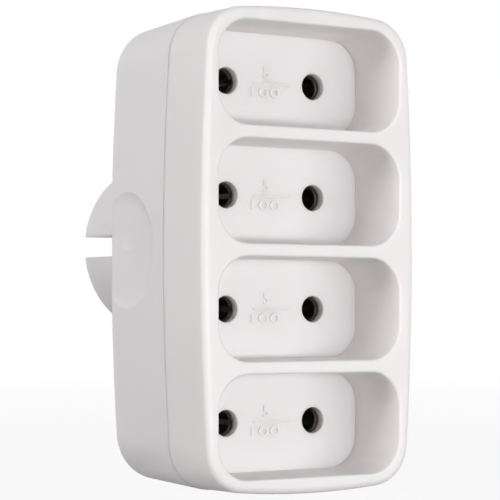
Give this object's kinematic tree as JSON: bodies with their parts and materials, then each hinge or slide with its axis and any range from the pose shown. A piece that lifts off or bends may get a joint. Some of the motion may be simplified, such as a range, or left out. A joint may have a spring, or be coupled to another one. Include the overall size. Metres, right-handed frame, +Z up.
{
  "type": "multi socket adapter",
  "caption": "Upright white plug-in adapter with a column of flat socket recesses in front, finger scoops in its sides and a round contour plug body with pins behind.",
  "frame": {"origin": "centre of the plug body's end face, midway between the two plug pins", "axes": "+Y out of the plug body's end face, along the plug pins; +Z up, along the column of sockets; the socket face looks along -Y"},
  "size_m": [0.046, 0.074, 0.0871],
  "materials": {
    "white_plastic": "satin white moulding",
    "grey_plastic": "grey moulding",
    "nickel_plate": "nickel-plated brass",
    "brass": "rolled strip",
    "rivet_brass": "upset heads",
    "contact_metal": "tinned spring strip",
    "screw_steel": "zinc-plated steel"
  },
  "bodies": {
    "root": {"front_cover": "white_plastic", "rear_housing": "white_plastic", "plug_pin_upper": "nickel_plate", "plug_pin_lower": "nickel_plate", "pin_retaining_plate": "grey_plastic", "plate_screws": "screw_steel", "pin_strap_upper": "brass", "pin_strap_lower": "brass", "bus_bar_left": "brass", "bus_bar_right": "brass", "contact_rivets": "rivet_brass", "cover_screws": "screw_steel", "contact_sleeve_1_left": "contact_metal", "contact_sleeve_1_right": "contact_metal", "contact_sleeve_2_left": "contact_metal", "contact_sleeve_2_right": "contact_metal", "contact_sleeve_3_left": "contact_metal", "contact_sleeve_3_right": "contact_metal", "contact_sleeve_4_left": "contact_metal", "contact_sleeve_4_right": "contact_metal"}
  },
  "joints": []
}
